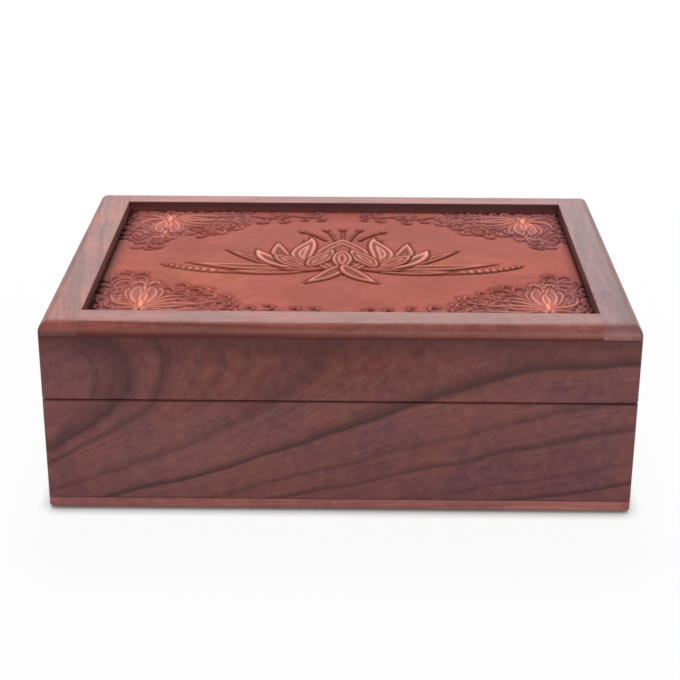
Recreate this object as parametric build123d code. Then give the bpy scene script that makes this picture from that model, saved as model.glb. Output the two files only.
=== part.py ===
from build123d import *
from math import radians, tan
import os

# A wooden card box with a hinged lid. A tooled leather panel lies in a frame on the lid.
# Millimetres. X runs left to right, Y from the front to the back, Z up.
# The origin is on the table, under the middle of the box.

# Box
width = 220.0  # over the boards, left to right
depth = 158.5  # over the boards, front to back
wall = 12.0  # thickness of the wall boards
case_wall_height = 40.2  # wall boards of the case, above the base plate
lid_wall_height = 25.2  # wall boards of the lid, below the frame
seam_gap = 0.3  # between the two rims when the lid is shut
seam_bevel = 0.4  # eased outer edges along the seam
corner_radius = 1.5  # rounding of the upright outer corners
corner_lip = 6.0  # the part of the front and back boards that laps the side boards' ends

# Base plate, its pads and the felt on it
base_thickness = 4.2
base_edge_radius = 0.8
pad_radius = 9.0
pad_thickness = 1.0
pad_margin = 5.0  # from the box's sides to a pad's edge
felt_thickness = 1.0
felt_clearance = 0.3

# Frame on the lid, the panel under it and the leather inside it
side_rail_width = 14.4
cross_rail_width = 13.0
rail_thickness = 5.4
rail_land = 1.0  # height of the upright edge left below the rails' rounding
rail_inner_radius = 0.4
panel_thickness = 4.0
panel_ledge = 6.0  # width of the rebate that the panel lies in
panel_clearance = 0.15
leather_thickness = 1.9
leather_clearance = 0.2
leather_corner_radius = 0.8

# Divider between the two decks
divider_thickness = 5.0
divider_tongue = 3.0  # how far it reaches into the grooves in the front and back boards
divider_drop = 3.0  # how far its top edge stands below the case's rim
divider_clearance = 0.1
scoop_half_width = 24.0
scoop_depth = 14.0
scoop_edge_radius = 3.0

# Butt hinges, let into the back boards
hinge_length = 30.0
hinge_margin = 27.0  # from the box's sides to a hinge's end
leaf_thickness = 1.2
leaf_margin = 1.2  # wood left between a leaf and the inside of the box
pin_radius = 1.0
pin_overhang = 0.3  # how far the pin stands out of each end of the barrel
pin_tip_bevel = 0.2
pin_clearance = 0.05  # in the lid's knuckles, which turn on the pin
knuckle_count = 5
knuckle_gap = 0.15
hinge_clearance = 0.3  # around the barrel and past its ends
open_angle = 100.0  # where the bevelled back edges meet

# Countersunk screws of the hinges
screw_end_margin = 6.5  # from a leaf's end to the nearest screw's axis
screw_head_radius = 1.7
screw_head_height = 0.9
screw_shank_radius = 0.85
screw_length = 8.0
screw_tip_length = 1.6
screw_tip_radius = 0.2
screw_clearance = 0.04
slot_width = 0.45
slot_depth = 0.35

# Levels and lines that follow from these sizes
base_top = pad_thickness + base_thickness
case_rim = base_top + case_wall_height
seam = case_rim + seam_gap / 2
lid_rim = case_rim + seam_gap
lid_wall_top = lid_rim + lid_wall_height
panel_bottom = lid_wall_top - panel_thickness
half_width = width / 2
half_depth = depth / 2
inner_half_width = half_width - wall
inner_half_depth = half_depth - wall
barrel_radius = pin_radius + leaf_thickness
axis_y = half_depth - barrel_radius - hinge_clearance
leaf_back = axis_y - barrel_radius - hinge_clearance
leaf_front = inner_half_depth + leaf_margin
sides = (("left", -1), ("right", 1))
ends = (("front", -1), ("back", 1))


def block(x, y, z):
    """A box between the two limits given for each axis."""
    (x0, x1), (y0, y1), (z0, z1) = sorted(x), sorted(y), sorted(z)
    return Pos((x0 + x1) / 2, (y0 + y1) / 2, (z0 + z1) / 2) * Box(x1 - x0, y1 - y0, z1 - z0)


def disc(x, y, z0, z1, radius):
    return Pos(x, y, (z0 + z1) / 2) * Cylinder(radius, z1 - z0)


def cone(x, y, z0, z1, low_radius, high_radius):
    return Pos(x, y, (z0 + z1) / 2) * Cone(low_radius, high_radius, z1 - z0)


def rod(x0, x1, radius):
    """A cylinder on the hinges' axis."""
    return Pos((x0 + x1) / 2, axis_y, seam) * Rot(0, 90, 0) * Cylinder(radius, x1 - x0)


def about_seam(shape):
    """The same shape on the other side of the seam."""
    return mirror(shape, about=Plane.XY.offset(seam))


def outline(z0, z1):
    """The whole box's outline between two heights, its upright corners rounded."""
    solid = block((-half_width, half_width), (-half_depth, half_depth), (z0, z1))
    return fillet(solid.edges().filter_by(Axis.Z), corner_radius)


# Wall boards, the same for the case and the lid


def side_board(side, envelope, z):
    """A left (-1) or right (1) board. It ends behind the lips of the front and back boards."""
    reach = half_depth - corner_lip
    return envelope & block((side * inner_half_width, side * half_width), (-reach, reach), z)


def cross_board(side, envelope, z):
    """A front (-1) or back (1) board over the full width, rebated for the side boards' ends."""
    board = block((-half_width, half_width), (side * inner_half_depth, side * half_depth), z)
    rebate = (side * inner_half_depth, side * (half_depth - corner_lip))
    for _, end in sides:
        board -= block((end * inner_half_width, end * half_width), rebate, z)
    return envelope & board


def boards_of(part, envelope, z):
    boards = {f"{part}_{name}_board": cross_board(side, envelope, z) for name, side in ends}
    for name, side in sides:
        boards[f"{part}_{name}_board"] = side_board(side, envelope, z)
    return boards


# Cuts in the boards, placed in the case. The lid's are the same, mirrored about the seam


def back_bevel():
    """The wedge cut from the back edge, so that the lid can lean back to its open angle."""
    past = half_depth + barrel_radius
    drop = (past - axis_y) * tan(radians(open_angle / 2))
    points = [(axis_y, case_rim), (past, case_rim), (past, case_rim - drop)]
    section = make_face(Plane.YZ * Polyline(*points, close=True))
    return extrude(section, amount=half_width, both=True)


def hinge_middles():
    return [(name, side * (half_width - hinge_margin - hinge_length / 2)) for name, side in sides]


def hinge_mortise(x):
    """Room for a leaf, and for the barrel that both leaves share."""
    half = hinge_length / 2
    leaf = block((x - half, x + half), (leaf_front, axis_y), (case_rim - leaf_thickness, case_rim))
    end = half + pin_overhang + hinge_clearance
    return leaf + rod(x - end, x + end, barrel_radius + hinge_clearance)


def screw_places(x):
    """The axes of one hinge's screws, in the middle of its leaf."""
    reach = hinge_length / 2 - screw_end_margin
    return [(x + s * reach, (leaf_front + leaf_back) / 2) for s in (-1, 1)]


def screw_room(x, y):
    """The space of a screw, a clearance wider than the screw."""
    head_radius = screw_head_radius + screw_clearance
    shank_radius = screw_shank_radius + screw_clearance
    head = cone(x, y, case_rim - screw_head_height, case_rim, shank_radius, head_radius)
    return head + disc(x, y, case_rim - screw_length - screw_clearance, case_rim, shank_radius)


def hinge_cuts():
    cuts = [back_bevel()]
    for _, x in hinge_middles():
        cuts.append(hinge_mortise(x))
        cuts.extend(screw_room(*place) for place in screw_places(x))
    return cuts


def divider_groove():
    half = divider_thickness / 2 + divider_clearance
    reach = inner_half_depth + divider_tongue + divider_clearance
    return block((-half, half), (-reach, reach), (base_top, case_rim))


def panel_rebate():
    x = inner_half_width + panel_ledge
    y = inner_half_depth + panel_ledge
    return block((-x, x), (-y, y), (panel_bottom, lid_wall_top))


# Case


def case_boards():
    z = (base_top, case_rim)
    envelope = outline(*z)
    envelope = chamfer(envelope.faces().sort_by(Axis.Z)[-1].edges(), seam_bevel)
    boards = boards_of("case", envelope, z)
    for name in ("case_front_board", "case_back_board"):
        boards[name] -= divider_groove()
    for cut in hinge_cuts():
        boards["case_back_board"] -= cut
    for name, _ in sides:
        boards[f"case_{name}_board"] -= back_bevel()
    return boards


def base_plate():
    plate = outline(pad_thickness, base_top)
    return fillet(plate.faces().sort_by(Axis.Z)[0].edges(), base_edge_radius)


def base_pad(side_x, side_y):
    x = side_x * (half_width - pad_margin - pad_radius)
    y = side_y * (half_depth - pad_margin - pad_radius)
    return disc(x, y, 0, pad_thickness, pad_radius)


def deck_divider():
    """A thin board with a scooped top edge, so that a deck can be lifted out."""
    half = divider_thickness / 2
    reach = inner_half_depth + divider_tongue
    top = case_rim - divider_drop
    board = block((-half, half), (-reach, reach), (base_top, top))
    scoop = Plane.YZ * Pos(0, top) * Ellipse(scoop_half_width, scoop_depth)
    board -= extrude(scoop, amount=half, both=True)
    top_edges = board.edges().filter_by(Axis.X).group_by(Axis.Z)[-1]
    mouth = top_edges.sort_by(lambda edge: abs(edge.center().Y))[:2]
    return fillet(mouth, scoop_edge_radius)


def floor_felt(side):
    x = (side * (divider_thickness / 2 + felt_clearance), side * (inner_half_width - felt_clearance))
    y = inner_half_depth - felt_clearance
    return block(x, (-y, y), (base_top, base_top + felt_thickness))


# Lid


def lid_boards():
    z = (lid_rim, lid_wall_top)
    envelope = outline(*z)
    envelope = chamfer(envelope.faces().sort_by(Axis.Z)[0].edges(), seam_bevel)
    boards = boards_of("lid", envelope, z)
    for cut in hinge_cuts():
        boards["lid_back_board"] -= about_seam(cut)
    for name, _ in sides:
        boards[f"lid_{name}_board"] -= about_seam(back_bevel())
    return {name: board - panel_rebate() for name, board in boards.items()}


def lid_panel():
    x = inner_half_width + panel_ledge - panel_clearance
    y = inner_half_depth + panel_ledge - panel_clearance
    return block((-x, x), (-y, y), (panel_bottom, lid_wall_top))


def lid_felt():
    x = inner_half_width - felt_clearance
    y = inner_half_depth - felt_clearance
    return block((-x, x), (-y, y), (panel_bottom - felt_thickness, panel_bottom))


def frame_rails():
    """Four rails parted from one rounded frame. The side rails run the full depth."""
    z = (lid_wall_top, lid_wall_top + rail_thickness)
    x = half_width - side_rail_width
    y = half_depth - cross_rail_width
    frame = outline(*z)
    frame = fillet(frame.faces().sort_by(Axis.Z)[-1].edges(), rail_thickness - rail_land)
    frame -= block((-x, x), (-y, y), z)
    opening = frame.faces().sort_by(Axis.Z)[-1].inner_wires()[0]
    frame = fillet(opening.edges(), rail_inner_radius)
    rails = {}
    for name, side in sides:
        room = block((side * x, side * half_width), (-half_depth, half_depth), z)
        rails[f"frame_{name}_rail"] = frame & room
    for name, side in ends:
        room = block((-x, x), (side * y, side * half_depth), z)
        rails[f"frame_{name}_rail"] = frame & room
    return rails


def leather_panel():
    x = half_width - side_rail_width - leather_clearance
    y = half_depth - cross_rail_width - leather_clearance
    sheet = block((-x, x), (-y, y), (lid_wall_top, lid_wall_top + leather_thickness))
    return fillet(sheet.edges().filter_by(Axis.Z), leather_corner_radius)


# Hinges, placed in the case


def knuckles(x, first):
    """Every second knuckle of a hinge, from the given one on, as its two limits along X."""
    pitch = hinge_length / knuckle_count
    start = x - hinge_length / 2 + knuckle_gap / 2
    length = pitch - knuckle_gap
    return [(start + i * pitch, start + i * pitch + length) for i in range(first, knuckle_count, 2)]


def hinge_leaf(x, first, bore):
    """A leaf with its knuckles, bored for the pin and countersunk for the screws."""
    half = hinge_length / 2
    z = (case_rim - leaf_thickness, case_rim)
    leaf = block((x - half, x + half), (leaf_front, leaf_back), z)
    for limits in knuckles(x, first):
        leaf += block(limits, (leaf_back, axis_y), z)
        leaf += rod(*limits, barrel_radius)
    leaf -= rod(x - half, x + half, bore)
    for place in screw_places(x):
        leaf -= screw_room(*place)
    return leaf


def hinge_pin(x):
    end = hinge_length / 2 + pin_overhang
    pin = rod(x - end, x + end, pin_radius)
    return chamfer(pin.edges().filter_by(GeomType.CIRCLE), pin_tip_bevel)


def hinge_screw(x, y):
    """A slotted countersunk screw."""
    point = case_rim - screw_length
    screw = cone(x, y, point, point + screw_tip_length, screw_tip_radius, screw_shank_radius)
    screw += disc(x, y, point + screw_tip_length, case_rim, screw_shank_radius)
    screw += cone(x, y, case_rim - screw_head_height, case_rim, screw_shank_radius, screw_head_radius)
    slot_x = (x - screw_head_radius, x + screw_head_radius)
    slot_y = (y - slot_width / 2, y + slot_width / 2)
    return screw - block(slot_x, slot_y, (case_rim - slot_depth, case_rim))


def hinge_nodes():
    nodes = {}
    screws = []
    for name, x in hinge_middles():
        nodes[f"{name}_hinge_case_leaf"] = hinge_leaf(x, 0, pin_radius)
        nodes[f"{name}_hinge_lid_leaf"] = about_seam(hinge_leaf(x, 1, pin_radius + pin_clearance))
        nodes[f"{name}_hinge_pin"] = hinge_pin(x)
        screws.extend(hinge_screw(*place) for place in screw_places(x))
    nodes["case_hinge_screws"] = Compound(children=screws)
    nodes["lid_hinge_screws"] = Compound(children=[about_seam(screw) for screw in screws])
    return nodes


def all_nodes():
    nodes = {**case_boards(), "base_plate": base_plate(), "deck_divider": deck_divider()}
    for name, side in sides:
        nodes[f"{name}_floor_felt"] = floor_felt(side)
        for end_name, end in ends:
            nodes[f"{end_name}_{name}_pad"] = base_pad(side, end)
    nodes.update(lid_boards())
    nodes.update(lid_panel=lid_panel(), lid_felt=lid_felt(), leather_panel=leather_panel())
    nodes.update(frame_rails())
    nodes.update(hinge_nodes())
    return nodes


os.makedirs("parts", exist_ok=True)
for node, shape in all_nodes().items():
    export_step(shape, f"parts/{node}.step")
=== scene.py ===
import math
from functools import partial

import bpy
import numpy as np
from mathutils import Matrix, Vector


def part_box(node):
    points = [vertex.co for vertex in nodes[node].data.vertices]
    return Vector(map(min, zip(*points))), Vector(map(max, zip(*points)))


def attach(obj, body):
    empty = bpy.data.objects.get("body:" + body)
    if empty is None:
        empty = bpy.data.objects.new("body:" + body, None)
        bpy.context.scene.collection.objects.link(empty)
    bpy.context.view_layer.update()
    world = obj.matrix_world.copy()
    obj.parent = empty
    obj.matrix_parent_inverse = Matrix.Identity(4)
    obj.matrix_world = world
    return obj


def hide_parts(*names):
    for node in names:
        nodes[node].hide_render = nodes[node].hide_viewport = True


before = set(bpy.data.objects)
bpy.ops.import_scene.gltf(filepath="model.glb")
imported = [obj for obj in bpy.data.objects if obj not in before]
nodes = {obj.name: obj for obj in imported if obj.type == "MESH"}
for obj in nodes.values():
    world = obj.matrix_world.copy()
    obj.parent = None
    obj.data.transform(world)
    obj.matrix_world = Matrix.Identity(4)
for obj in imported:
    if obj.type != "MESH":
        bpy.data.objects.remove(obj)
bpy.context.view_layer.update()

scene = bpy.context.scene
mm = 0.001

# heights and half sizes of the box, in millimetres
plateTop = 5.2
seam = 45.5
frameFoot = 70.9
halfBox = (110.0, 79.25)
halfRounding = (107.5, 76.75)  # on the frame's rounded edge


def paint(code):  # "#rrggbb" in sRGB to linear
    parts = [int(code[i : i + 2], 16) / 255 for i in (1, 3, 5)]
    return (*[c / 12.92 if c <= 0.04045 else ((c + 0.055) / 1.055) ** 2.4 for c in parts], 1.0)


def addNode(tree, kind, inputs=None, stops=None, **settings):
    # an input is a value, a socket, or a node, which stands for its first live output
    made = tree.nodes.new(kind)
    for name, value in settings.items():
        setattr(made, name, value)
    for key, value in (inputs or {}).items():
        if isinstance(value, bpy.types.Node):
            value = next(out for out in value.outputs if out.enabled)
        if isinstance(value, bpy.types.NodeSocket):
            tree.links.new(value, made.inputs[key])
        else:
            made.inputs[key].default_value = value
    if stops:
        bar = made.color_ramp.elements
        while len(bar) < len(stops):
            bar.new(0.5)
        for stop, (at, shade) in zip(bar, stops):
            stop.position = at
            stop.color = paint(shade) if isinstance(shade, str) else (shade, shade, shade, 1)
    return made


def emptyTree(owner):  # clears its nodes, and gives back the call that adds one
    owner.use_nodes = True
    owner.node_tree.nodes.clear()
    return partial(addNode, owner.node_tree)


def newMaterial(name):
    material = bpy.data.materials.new(name)
    return material, emptyTree(material)


def dress(names, material):
    for name in names:
        nodes[name].data.materials.clear()
        nodes[name].data.materials.append(material)


def place(name, data):  # a new object, at the origin
    made = bpy.data.objects.new(name, data)
    scene.collection.objects.link(made)
    return made


def newPiece(name, points, faces, material):
    mesh = bpy.data.meshes.new(name)
    mesh.from_pydata(points, [], faces)
    mesh.materials.append(material)
    mesh.validate()
    return place(name, mesh)


# Camera, at the photograph's angle
view = {
    "place": (0.00506, -0.61253, 0.2903),
    "lens": 84.24,  # mm, on a sensor of this width
    "sensor": 36,
    "turn": -0.54,  # degrees to the right
    "dip": 22.42,  # degrees below the horizon
    "roll": 0.25,
}


def makeCamera():
    turn, dip, roll = (math.radians(view[k]) for k in ("turn", "dip", "roll"))
    ahead = Vector((math.sin(turn) * math.cos(dip), math.cos(turn) * math.cos(dip), -math.sin(dip)))
    across = Vector((math.cos(turn), -math.sin(turn), 0))
    up = across.cross(ahead)
    right = math.cos(roll) * across + math.sin(roll) * up
    top = -math.sin(roll) * across + math.cos(roll) * up
    data = bpy.data.cameras.new("camera")
    data.lens = view["lens"]
    data.sensor_width = view["sensor"]
    data.clip_start, data.clip_end = 0.01, 50
    camera = place("camera", data)
    camera.matrix_world = Matrix.Translation(view["place"]) @ Matrix((right, top, -ahead)).transposed().to_4x4()
    scene.camera = camera


makeCamera()
print("camera placed")


# White studio sweep and soft light
studio = {
    "floorSize": 12.0,
    "floorWhite": "#f6f6f6",
    "backdropShare": 0.93,  # how much of the near floor is plain backdrop to the camera; the rest takes the shadow
    "sweep": (0.25, 0.90),  # metres from the box, where the floor goes over into the white room
    "contactReach": 6 * mm,  # under the box the floor is all shadow
    "contactShade": 0.35,
    "roomLight": 0.31,
    "aim": (0, 0, 0.04),
    "lamps": {  # place, size in metres, watts
        "keySoftbox": ((0.0, 0.80, 1.35), 0.7, 16.0),
        "backSoftbox": ((0.0, 2.1, 0.85), 1.6, 9.0),
        "frontSoftbox": ((-0.2, -1.30, 0.80), 0.45, 1.8),
        "lowSoftbox": ((0.1, -1.30, 0.24), 0.6, 5.2),
    },
}
white = (1, 1, 1, 1)


def seenPlain(add):  # straight from the camera, or in something glossy or clear
    rays = add("ShaderNodeLightPath").outputs
    seen = rays["Is Camera Ray"]
    for kind in ("Is Glossy Ray", "Is Transmission Ray"):
        seen = add("ShaderNodeMath", {0: seen, 1: rays[kind]}, operation="MAXIMUM")
    return seen


def whitePaper():
    # White paper, matt: it takes a faint shadow and has no shine
    material, add = newMaterial("whitePaperSweep")
    paper = add("ShaderNodeBsdfDiffuse", {"Color": paint(studio["floorWhite"])})
    plain = add("ShaderNodeEmission", {"Color": white, "Strength": 1.0})
    clear = add("ShaderNodeAmbientOcclusion", {"Distance": studio["contactReach"]}, samples=8).outputs["AO"]
    spot = add("ShaderNodeTexCoord").outputs["Object"]
    away = add("ShaderNodeVectorMath", {0: spot}, operation="LENGTH")
    near, far = studio["sweep"]
    sweep = {0: away, 1: near, 2: far, 3: studio["backdropShare"]}
    most = add("ShaderNodeMapRange", sweep, interpolation_type="SMOOTHSTEP")
    share = add("ShaderNodeMapRange", {0: clear, 1: studio["contactShade"], 4: most})
    share = add("ShaderNodeMath", {0: seenPlain(add), 1: share}, operation="MULTIPLY")
    mixed = add("ShaderNodeMixShader", {0: share, 1: paper, 2: plain})
    add("ShaderNodeOutputMaterial", {"Surface": mixed})
    return material


def makeStudio():
    h = studio["floorSize"] / 2
    floor = newPiece("floor", [(-h, -h, 0), (h, -h, 0), (h, h, 0), (-h, h, 0)], [(0, 1, 2, 3)], whitePaper())
    world = bpy.data.worlds.new("studioRoom")
    add = emptyTree(world)
    room = add("ShaderNodeBackground", {"Color": white, "Strength": studio["roomLight"]})
    plain = add("ShaderNodeBackground", {"Color": white, "Strength": 1.0})
    mixed = add("ShaderNodeMixShader", {0: seenPlain(add), 1: room, 2: plain})
    add("ShaderNodeOutputWorld", {"Surface": mixed})
    scene.world = world
    for name, (spot, size, watts) in studio["lamps"].items():
        data = bpy.data.lights.new(name, "AREA")
        data.shape = "SQUARE"
        data.size = size
        data.energy = watts
        lamp = place(name, data)
        lamp.location = spot
        lamp.rotation_mode = "QUATERNION"
        lamp.rotation_quaternion = (Vector(studio["aim"]) - Vector(spot)).to_track_quat("-Z", "Y")
    scene.view_settings.view_transform = "Standard"


makeStudio()
print("studio lit")


# Walnut. The growth lines of the front board rise to the right and close into arches at its left end.
# Their field is a cubic in x and z, in millimetres across the lines, and the same field serves case and lid,
# so that the grain runs on over the seam as on a box that was sawn open.
grain = {
    "halfWidth": 110 * mm,
    "halfHeight": 38 * mm,
    "field": ((-0.8, -26.8, 7.25), (20.7, 9.1, 1.9), (-13.0, 5.9, 0.0), (1.7, 0.0, 0.0)),  # rows: powers of z
    "slant": 0.55,  # how the lines lean as they go into the board
    "period": 100.0,  # mm, after which the streaks come round again on the other boards
    "start": -66.0,
    "streaks": (  # middle in the field, strength, soft side above, sharp side below, in mm
        (-58.0, 0.45, 2.6, 1.3),
        (-46.0, 0.80, 2.6, 0.8),
        (-37.0, 0.40, 2.4, 1.1),
        (-23.4, 0.65, 2.4, 0.9),
        (-14.6, 0.50, 2.2, 0.9),
        (-3.1, 0.90, 3.0, 0.9),
        (9.2, 0.48, 2.6, 1.3),
        (21.4, 0.60, 1.8, 1.1),
        (25.7, 0.78, 4.4, 1.4),
    ),
    "patches": (  # of the front board: x, z, reach in x and in z, strength, tone
        (-60, 22, 60, 26, 0.40, "pale"),
        (8, 60, 54, 18, 0.95, "blush"),
        (70, 60, 40, 12, 0.40, "blush"),
        (-34, 67, 26, 8, 0.50, "streak"),
        (-92, 62, 12, 12, 0.27, "streak"),
        (70, 24, 34, 9, 0.22, "streak"),
        (-26, 8, 34, 14, 0.18, "streak"),
        (-46, 58, 46, 22, 0.60, "blush"),
        (-88, 46, 36, 22, 0.50, "cool"),
        (82, 26, 42, 30, 0.62, "cool"),
    ),
    "warp": (0.006, 0.006, 0.0045),  # metres by which the lines wander
    "waves": 28.0,  # noise scales: waves 36 mm long, cooler clouds 28 mm across, pale flecks 4 mm
    "clouds": 36.0,
    "flecks": 230.0,
    "fibre": 0.9 * mm,  # across one fibre line; the real ones are finer, and these are as fine as shows
    "fibreBreaks": 2.2,  # over half a board's length
    "pore": 0.28 * mm,
    "poreLength": 4.0 * mm,
    "poreShare": 0.3,
    "bumpDepth": 0.12 * mm,
}


def softPatch(add, spot, x, z, reachX, reachZ, strength):  # in the plane of the front board
    scaled = {0: spot, 1: (1 / (reachX * mm), 0.0, 1 / (reachZ * mm)), 2: (-x / reachX, 0.0, -z / reachZ)}
    away = add("ShaderNodeVectorMath", scaled, operation="MULTIPLY_ADD")
    away = add("ShaderNodeVectorMath", {0: away}, operation="LENGTH")
    return add("ShaderNodeMapRange", {0: away, 2: 1.1, 3: strength, 4: 0.0}, interpolation_type="SMOOTHSTEP")


def growthField(add, x, y, z, figure):
    field = None
    for a, b, c in reversed(grain["field"]):
        row = add("ShaderNodeMath", {0: x, 1: c * figure, 2: b * figure}, operation="MULTIPLY_ADD")
        row = add("ShaderNodeMath", {0: x, 1: row, 2: a}, operation="MULTIPLY_ADD")
        if field is not None:
            row = add("ShaderNodeMath", {0: z, 1: field, 2: row}, operation="MULTIPLY_ADD")
        field = row
    return add("ShaderNodeMath", {0: y, 1: grain["slant"], 2: field}, operation="MULTIPLY_ADD")


def darkStreaks(add, field):
    start, period = grain["start"], grain["period"]
    turns = add("ShaderNodeMath", {0: field, 1: 1 / period, 2: -start / period}, operation="MULTIPLY_ADD")
    turns = add("ShaderNodeMath", {0: turns}, operation="FRACT")
    stops = [(0.0, 0.0)]
    for middle, strength, soft, sharp in grain["streaks"]:
        for away, value in ((-sharp, 0.0), (0.0, strength), (soft, 0.0)):
            stops.append(((middle + away - start) / period, value))
    return add("ShaderNodeValToRGB", {0: turns}, stops=sorted(stops))


def fibresAndPores(add, x, y, field):  # both follow the growth lines
    breaks = grain["fibreBreaks"]
    along = add(
        "ShaderNodeCombineXYZ",
        {
            0: add("ShaderNodeMath", {0: x, 1: breaks}, operation="MULTIPLY"),
            1: add("ShaderNodeMath", {0: field, 1: mm / grain["fibre"]}, operation="MULTIPLY"),
            2: add("ShaderNodeMath", {0: y, 1: 0.05}, operation="MULTIPLY"),
        },
    )
    fibre = add("ShaderNodeTexNoise", {"Vector": along, "Scale": 1.0, "Detail": 4.0, "Roughness": 0.62})
    narrow = (grain["halfWidth"] / grain["poreLength"] / breaks, grain["fibre"] / grain["pore"] * 0.5, 8.0)
    pores = add("ShaderNodeVectorMath", {0: along, 1: narrow}, operation="MULTIPLY")
    pores = add("ShaderNodeTexNoise", {"Vector": pores, "Scale": 1.0, "Detail": 1.0})
    return fibre, add("ShaderNodeMapRange", {0: pores, 1: 0.60, 2: 0.72})


def layMarksAndShade(add, axes, run, look):
    # lines of colour, each at a height: dark joints and glue, a dark streak, a paler band, and painted shade under
    # overhanging edges and beside the joints; one may run down toward the right, or fade there
    marks = None
    for level, reach, strength, *more in look["marksAndShadeLines"]:
        fall, fade = more or (0.0, 0.0)
        away = add("ShaderNodeMath", {0: run, 1: fall * mm, 2: axes[2]}, operation="MULTIPLY_ADD")
        away = add("ShaderNodeMath", {0: away, 1: level * mm}, operation="SUBTRACT")
        away = add("ShaderNodeMath", {0: away}, operation="ABSOLUTE")
        ramp = {0: away, 2: reach * mm, 3: strength, 4: 0.0}
        line = add("ShaderNodeMapRange", ramp, interpolation_type="SMOOTHSTEP")
        if fade:
            left = add("ShaderNodeMapRange", {0: run, 1: 0.36, 3: 1.0, 4: 1.0 - fade})
            line = add("ShaderNodeMath", {0: line, 1: left}, operation="MULTIPLY")
        marks = add("ShaderNodeMath", {0: marks or 0.0, 1: line}, operation="MAXIMUM")
    skin = None  # they lie on the outer skin only, not on the rims that meet
    for axis, limit in zip(axes, look["skin"]):
        away = add("ShaderNodeMath", {0: axis}, operation="ABSOLUTE")
        away = add("ShaderNodeMapRange", {0: away, 1: (limit - look["skinDepth"]) * mm, 2: limit * mm})
        skin = add("ShaderNodeMath", {0: skin or 0.0, 1: away}, operation="MAXIMUM")
    return add("ShaderNodeMath", {0: marks, 1: skin}, operation="MULTIPLY")


def paintedWellShade(add, axes, look):  # painted shade on the frame's inner faces, darker toward the top
    low, high, least, most = look["wellRamp"]
    deep = add("ShaderNodeMapRange", {0: axes[2], 1: low * mm, 2: high * mm, 3: least, 4: most})
    for axis, limit in zip(axes, look["well"]):
        away = add("ShaderNodeMath", {0: axis}, operation="ABSOLUTE")
        inner = add("ShaderNodeMath", {0: away, 1: limit * mm}, operation="LESS_THAN")
        deep = add("ShaderNodeMath", {0: deep, 1: inner}, operation="MULTIPLY")
    return deep


def sawnWood(name, look, shift, turned=False, patched=False):
    material, add = newMaterial(name)
    spot = add("ShaderNodeTexCoord").outputs["Object"]
    turn = (0, 0, math.radians(-90) if turned else 0)
    spread = add("ShaderNodeMapping", {"Vector": spot, "Rotation": turn, "Location": shift})
    # a slow warp, so that no line is ruled
    warp = add("ShaderNodeTexNoise", {"Vector": spread, "Scale": grain["waves"], "Detail": 2.0}).outputs["Color"]
    warp = add("ShaderNodeVectorMath", {0: warp, 1: (0.5, 0.5, 0.5)}, operation="SUBTRACT")
    bent = add("ShaderNodeVectorMath", {0: warp, 1: grain["warp"], 2: spread}, operation="MULTIPLY_ADD")
    units = (1 / grain["halfWidth"], 1 / mm, 1 / grain["halfHeight"])
    scaled = add("ShaderNodeVectorMath", {0: bent, 1: units, 2: (0, 0, -1)}, operation="MULTIPLY_ADD")
    x, y, z = add("ShaderNodeSeparateXYZ", {0: scaled}).outputs
    field = growthField(add, x, y, z, 1 - look["straight"])
    fibre, pores = fibresAndPores(add, x, y, field)
    clouds = add("ShaderNodeTexNoise", {"Vector": bent, "Scale": grain["clouds"], "Detail": 3.0})
    flecks = {"Vector": bent, "Scale": grain["flecks"], "Detail": 3.0, "Distortion": 0.5}
    flecks = add("ShaderNodeTexNoise", flecks)
    layers = [  # how much of each tone lies over the ones before
        (add("ShaderNodeMapRange", {0: clouds, 1: 0.38, 2: 0.62}), "cool"),
        (add("ShaderNodeMapRange", {0: fibre, 1: 0.35, 2: 0.75, 4: look["lines"]}), "deep"),
        (add("ShaderNodeMapRange", {0: flecks, 1: 0.38, 2: 0.70, 4: 0.32}), "glint"),
        (add("ShaderNodeMath", {0: darkStreaks(add, field), 1: look["streaked"]}, operation="MULTIPLY"), "streak"),
        (add("ShaderNodeMath", {0: pores, 1: grain["poreShare"]}, operation="MULTIPLY"), "streak"),
    ]
    if patched:
        layers[1:1] = [(softPatch(add, bent, *patch), tone) for *patch, tone in grain["patches"]]
    axes = add("ShaderNodeSeparateXYZ", {0: spot}).outputs
    run = add("ShaderNodeMapRange", {0: axes[0], 1: -grain["halfWidth"], 2: grain["halfWidth"]})
    if look["marksAndShadeLines"]:
        layers.append((layMarksAndShade(add, axes, run, look), "marksAndShade"))
    if "well" in look:
        layers.append((paintedWellShade(add, axes, look), "shade"))
    colour = paint(look["warm"])
    if "drift" in look:  # the board's colour changes along its length
        layers.insert(0, (run, "drift"))
    for share, tone in layers:
        colour = add("ShaderNodeMix", {0: share, 6: colour, 7: paint(look[tone])}, data_type="RGBA")
    relief = add("ShaderNodeMath", {0: pores, 1: -0.6, 2: fibre}, operation="MULTIPLY_ADD")
    bump = add("ShaderNodeBump", {"Height": relief, "Strength": 0.35, "Distance": grain["bumpDepth"]})
    rough = look["roughness"]
    surface = add(
        "ShaderNodeBsdfPrincipled",
        {
            "Base Color": colour,
            "Roughness": add("ShaderNodeMapRange", {0: fibre, 1: 0.3, 2: 0.7, 3: rough - 0.05, 4: rough + 0.08}),
            "IOR": 1.5,
            "Specular IOR Level": look["specular"],
            "Normal": bump,
        },
    )
    add("ShaderNodeOutputMaterial", {"Surface": surface})
    return material


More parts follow.
